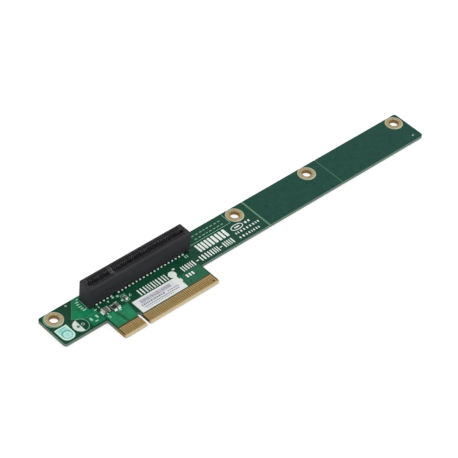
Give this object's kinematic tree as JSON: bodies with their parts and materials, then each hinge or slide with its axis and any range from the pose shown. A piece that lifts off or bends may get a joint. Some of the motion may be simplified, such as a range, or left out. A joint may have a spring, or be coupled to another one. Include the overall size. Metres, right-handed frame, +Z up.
{
  "type": "pcie riser card",
  "caption": "Slim green riser board with a gold edge tongue, a black card slot standing parallel on its face, plated mounting holes and break-off grooves across its long arm",
  "frame": {"origin": "on the key notch's centre line at the tongue's leading edge, halfway through the board's thickness", "axes": "+X along the board towards its long arm, +Y from the tongue's tip to the back edge, +Z up out of the slot"},
  "size_m": [0.2123, 0.0305, 0.0142],
  "materials": {
    "solder_mask": "dark green solder mask with a soft sheen",
    "housing_plastic": "black moulded nylon, matte",
    "gold_plate": "thin hard gold plating",
    "ring_plate": "dull pale gold plating, lightly stained",
    "contact_metal": "tinned tails and plated spring tips",
    "solder_pad": "bright tinned pads",
    "chip_terminal": "tinned chip ends",
    "chip_ceramic": "brown-grey ceramic",
    "chip_black": "black glaze",
    "label_paper": "white printed label",
    "seal_film": "pale cyan sticker"
  },
  "bodies": {
    "root": {"alignment_dots": "solder_pad", "barcode_label": "label_paper", "chip_capacitor_body": "chip_ceramic", "chip_capacitor_pads": "solder_pad", "chip_capacitor_terminals": "chip_terminal", "chip_resistor_body": "chip_black", "chip_resistor_pads": "solder_pad", "chip_resistor_terminals": "chip_terminal", "circuit_board": "solder_mask", "contacts_front_inner": "contact_metal", "contacts_front_outer": "contact_metal", "contacts_rear_inner": "contact_metal", "contacts_rear_outer": "contact_metal", "edge_fingers_bottom_long": "gold_plate", "edge_fingers_bottom_short": "gold_plate", "edge_fingers_top_long": "gold_plate", "edge_fingers_top_short": "gold_plate", "inspection_sticker": "seal_film", "mounting_rings": "ring_plate", "side_capacitor_body": "chip_ceramic", "side_capacitor_pads": "solder_pad", "side_capacitor_terminals": "chip_terminal", "slot_housing": "housing_plastic", "small_capacitor_body": "chip_ceramic", "small_capacitor_pads": "solder_pad", "small_capacitor_terminals": "chip_terminal", "spare_chip_pads": "solder_pad", "spare_lead_rings": "solder_pad"}
  },
  "joints": []
}
